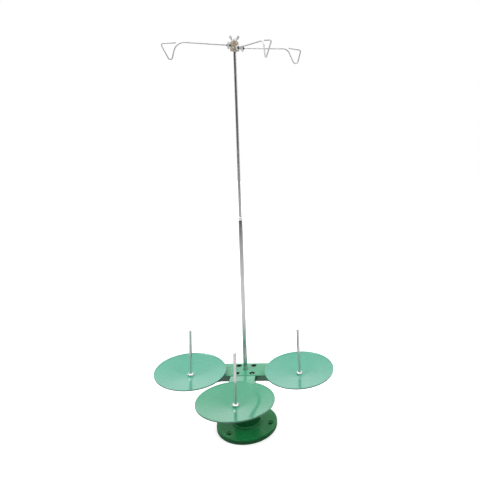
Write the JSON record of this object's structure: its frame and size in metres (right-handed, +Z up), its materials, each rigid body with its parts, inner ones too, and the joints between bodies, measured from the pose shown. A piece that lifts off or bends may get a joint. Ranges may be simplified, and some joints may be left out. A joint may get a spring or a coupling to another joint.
{
  "type": "thread cone stand",
  "caption": "Cast pedestal with flat arms, dished discs with upright spindles for cones of thread, and a tall telescopic mast with bent wire thread guides.",
  "frame": {"origin": "centre of the underside of the round base flange", "axes": "+Z up along the mast; -Y is the front, the way the single front arm points; +X is to the right seen from the front"},
  "size_m": [0.3075, 0.231, 0.6702],
  "materials": {
    "green_paint": "gloss green enamel on cast iron",
    "dish_paint": "gloss green enamel on pressed steel sheet",
    "spindle_chrome": "polished chrome plate",
    "mast_steel": "bright plated drawn tube and rod",
    "head_metal": "dull cast zinc, slightly brown",
    "zinc_hardware": "bright zinc plate",
    "guide_wire": "drawn nickel-plated wire",
    "dark_screws": "blackened socket head screws"
  },
  "bodies": {
    "base": {"base_casting": "green_paint", "cross_bar": "green_paint", "front_arm": "green_paint", "arm_screw_back_left": "dark_screws", "arm_screw_back_right": "dark_screws", "arm_screw_front_left": "dark_screws", "arm_screw_front_right": "dark_screws", "dish_left": "dish_paint", "spindle_left": "spindle_chrome", "spindle_collar_left": "spindle_chrome", "spindle_nut_left": "zinc_hardware", "dish_right": "dish_paint", "spindle_right": "spindle_chrome", "spindle_collar_right": "spindle_chrome", "spindle_nut_right": "zinc_hardware", "dish_front": "dish_paint", "spindle_front": "spindle_chrome", "spindle_collar_front": "spindle_chrome", "spindle_nut_front": "zinc_hardware", "mast_tube": "mast_steel"},
    "mast": {"mast_rod": "mast_steel", "rod_stop_ring": "mast_steel"},
    "head": {"head_hub": "head_metal", "guide_nut_left": "zinc_hardware", "guide_nut_right": "zinc_hardware", "guide_nut_front": "zinc_hardware"},
    "wing_nut": {"wing_nut": "zinc_hardware"},
    "guide_left": {"guide_wire_left": "guide_wire"},
    "guide_right": {"guide_wire_right": "guide_wire"},
    "guide_front": {"guide_wire_front": "guide_wire"}
  },
  "joints": [
    {"name": "mast_height", "type": "slide", "parent": "base", "child": "mast", "axis": [0, 0, 1], "range_m": [0, 0.1]},
    {"name": "head_turn", "type": "hinge", "parent": "mast", "child": "head", "pos_m": [0, 0, 0.654], "axis": [0, 0, 1], "continuous": true},
    {"name": "wing_nut_turn", "type": "hinge", "parent": "mast", "child": "wing_nut", "pos_m": [0, 0, 0.6637], "axis": [0, 0, 1], "continuous": true},
    {"name": "guide_twist_left", "type": "hinge", "parent": "head", "child": "guide_left", "pos_m": [0, 0, 0.6556], "axis": [-0.997, -0.0697, 0.0349], "range_deg": [-90, 90]},
    {"name": "guide_twist_right", "type": "hinge", "parent": "head", "child": "guide_right", "pos_m": [0, 0, 0.652], "axis": [0.9842, -0.1735, -0.0349], "range_deg": [-90, 90]},
    {"name": "guide_twist_front", "type": "hinge", "parent": "head", "child": "guide_front", "pos_m": [0, 0, 0.651], "axis": [0.5732, -0.8185, -0.0384], "range_deg": [-90, 90]}
  ]
}
